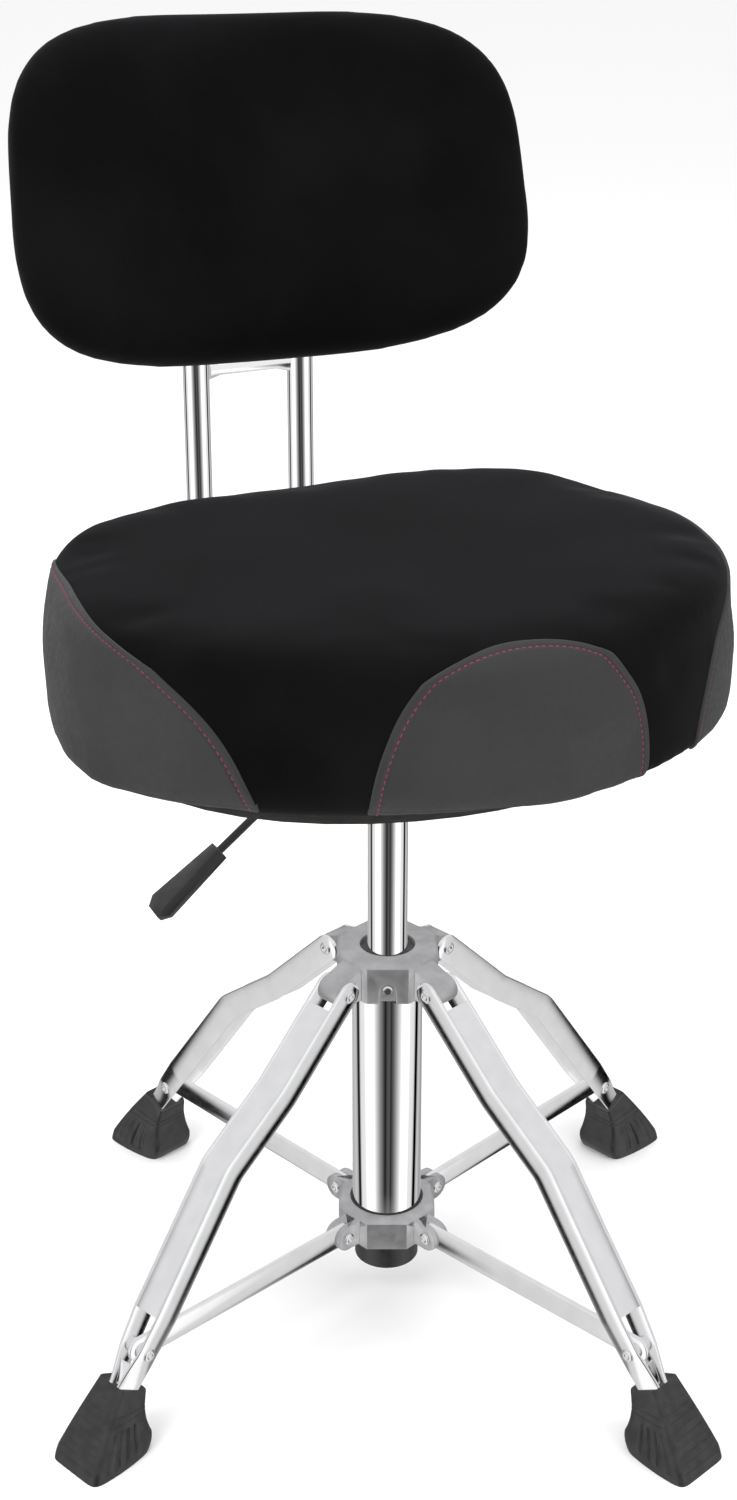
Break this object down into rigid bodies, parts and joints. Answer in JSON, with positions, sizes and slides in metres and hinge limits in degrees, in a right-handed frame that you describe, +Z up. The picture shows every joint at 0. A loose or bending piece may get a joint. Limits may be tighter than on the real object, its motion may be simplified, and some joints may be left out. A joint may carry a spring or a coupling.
{
  "type": "drum throne",
  "caption": "Padded drum throne with a backrest, on a gas-lift column that swivels on four folding braced legs with rubber feet.",
  "frame": {"origin": "on the floor, under the axis of the column", "axes": "+Z up; the legs point along the diagonals between X and Y; the seat's front faces -Y turned 24 degrees towards +X"},
  "size_m": [0.4838, 0.5262, 0.8976],
  "materials": {
    "chrome_tube": "mirror-bright chrome plating",
    "hub_casting": "satin die-cast grey",
    "leg_steel": "bright plated sheet steel",
    "fastener_steel": "bright zinc plating",
    "black_steel": "black powder coat",
    "black_plastic": "moulded, slightly glossy",
    "black_rubber": "moulded rubber",
    "plywood": "bare plywood",
    "upholstery": "black velour over foam, with dark grey vinyl panels"
  },
  "bodies": {
    "base": {"column_tube": "chrome_tube", "upper_hub": "hub_casting", "hub_screw": "fastener_steel", "guide_bush": "black_plastic", "column_end_cap": "black_rubber", "bearing_race_lower": "fastener_steel", "bearing_ball_cage": "fastener_steel"},
    "lift_rod": {"piston_rod": "chrome_tube", "bearing_race_upper": "fastener_steel", "rod_clip": "fastener_steel"},
    "seat": {"gas_cylinder": "chrome_tube", "seat_plate": "black_steel", "seat_board": "plywood", "seat_cushion": "upholstery", "plate_bolt_1": "fastener_steel", "plate_bolt_2": "fastener_steel", "plate_bolt_3": "fastener_steel", "plate_bolt_4": "fastener_steel", "backrest_tube_left": "chrome_tube", "backrest_tube_right": "chrome_tube", "backrest_crossbar": "chrome_tube", "backrest_clamp": "black_steel", "clamp_bolt": "fastener_steel", "backrest_board": "plywood", "backrest_cushion": "upholstery", "backrest_screw_left": "fastener_steel", "backrest_screw_right": "fastener_steel"},
    "lever": {"lever_rod": "black_plastic", "lever_handle": "black_plastic"},
    "valve": {"valve_button": "fastener_steel"},
    "lower_hub": {"lower_hub": "hub_casting", "lower_hub_liner": "black_plastic"},
    "leg_rear_right": {"leg_rear_right": "leg_steel", "foot_rear_right": "black_rubber", "hub_rivet_rear_right": "fastener_steel", "brace_rivet_a_rear_right": "fastener_steel", "brace_rivet_b_rear_right": "fastener_steel"},
    "brace_rear_right": {"brace_rear_right": "leg_steel", "brace_pin_rear_right": "fastener_steel"},
    "leg_rear_left": {"leg_rear_left": "leg_steel", "foot_rear_left": "black_rubber", "hub_rivet_rear_left": "fastener_steel", "brace_rivet_a_rear_left": "fastener_steel", "brace_rivet_b_rear_left": "fastener_steel"},
    "brace_rear_left": {"brace_rear_left": "leg_steel", "brace_pin_rear_left": "fastener_steel"},
    "leg_front_left": {"leg_front_left": "leg_steel", "foot_front_left": "black_rubber", "hub_rivet_front_left": "fastener_steel", "brace_rivet_a_front_left": "fastener_steel", "brace_rivet_b_front_left": "fastener_steel"},
    "brace_front_left": {"brace_front_left": "leg_steel", "brace_pin_front_left": "fastener_steel"},
    "leg_front_right": {"leg_front_right": "leg_steel", "foot_front_right": "black_rubber", "hub_rivet_front_right": "fastener_steel", "brace_rivet_a_front_right": "fastener_steel", "brace_rivet_b_front_right": "fastener_steel"},
    "brace_front_right": {"brace_front_right": "leg_steel", "brace_pin_front_right": "fastener_steel"}
  },
  "joints": [
    {"name": "seat_swivel", "type": "hinge", "parent": "base", "child": "lift_rod", "pos_m": [0, 0, 0.0793], "axis": [0, 0, 1], "continuous": true},
    {"name": "seat_height", "type": "slide", "parent": "lift_rod", "child": "seat", "axis": [0, 0, 1], "range_m": [-0.085, 0.035]},
    {"name": "lift_lever", "type": "hinge", "parent": "seat", "child": "lever", "pos_m": [-0.03015, -0.01342, 0.4506], "axis": [-0.4067, 0.9135, 0], "range_deg": [0, 6], "stiffness_Nm_per_rad": 0.6, "springref_deg": -2.86},
    {"name": "valve_stroke", "type": "slide", "parent": "seat", "child": "valve", "axis": [0, 0, 1], "range_m": [-0.004, 0]},
    {"name": "base_fold", "type": "slide", "parent": "base", "child": "lower_hub", "axis": [0, 0, 1], "range_m": [0, 0.116]},
    {"name": "leg_hinge_rear_right", "type": "hinge", "parent": "base", "child": "leg_rear_right", "pos_m": [0.03507, 0.03507, 0.269], "axis": [-0.7071, 0.7071, 0], "range_deg": [0, 29.6]},
    {"name": "brace_hinge_rear_right", "type": "hinge", "parent": "lower_hub", "child": "brace_rear_right", "pos_m": [0.03288, 0.03288, 0.065], "axis": [-0.7071, 0.7071, 0], "range_deg": [0, 70.4]},
    {"name": "leg_hinge_rear_left", "type": "hinge", "parent": "base", "child": "leg_rear_left", "pos_m": [-0.03507, 0.03507, 0.269], "axis": [-0.7071, -0.7071, 0], "range_deg": [0, 29.6]},
    {"name": "brace_hinge_rear_left", "type": "hinge", "parent": "lower_hub", "child": "brace_rear_left", "pos_m": [-0.03288, 0.03288, 0.065], "axis": [-0.7071, -0.7071, 0], "range_deg": [0, 70.4]},
    {"name": "leg_hinge_front_left", "type": "hinge", "parent": "base", "child": "leg_front_left", "pos_m": [-0.03507, -0.03507, 0.269], "axis": [0.7071, -0.7071, 0], "range_deg": [0, 29.6]},
    {"name": "brace_hinge_front_left", "type": "hinge", "parent": "lower_hub", "child": "brace_front_left", "pos_m": [-0.03288, -0.03288, 0.065], "axis": [0.7071, -0.7071, 0], "range_deg": [0, 70.4]},
    {"name": "leg_hinge_front_right", "type": "hinge", "parent": "base", "child": "leg_front_right", "pos_m": [0.03507, -0.03507, 0.269], "axis": [0.7071, 0.7071, 0], "range_deg": [0, 29.6]},
    {"name": "brace_hinge_front_right", "type": "hinge", "parent": "lower_hub", "child": "brace_front_right", "pos_m": [0.03288, -0.03288, 0.065], "axis": [0.7071, 0.7071, 0], "range_deg": [0, 70.4]}
  ],
  "couplings": [
    {"joint": "valve_stroke", "follows": "lift_lever", "m_per_rad": -0.037},
    {"joint": "leg_hinge_rear_right", "follows": "base_fold", "rad_per_m": 4.451},
    {"joint": "brace_hinge_rear_right", "follows": "base_fold", "rad_per_m": 10.588},
    {"joint": "leg_hinge_rear_left", "follows": "base_fold", "rad_per_m": 4.451},
    {"joint": "brace_hinge_rear_left", "follows": "base_fold", "rad_per_m": 10.588},
    {"joint": "leg_hinge_front_left", "follows": "base_fold", "rad_per_m": 4.451},
    {"joint": "brace_hinge_front_left", "follows": "base_fold", "rad_per_m": 10.588},
    {"joint": "leg_hinge_front_right", "follows": "base_fold", "rad_per_m": 4.451},
    {"joint": "brace_hinge_front_right", "follows": "base_fold", "rad_per_m": 10.588}
  ]
}
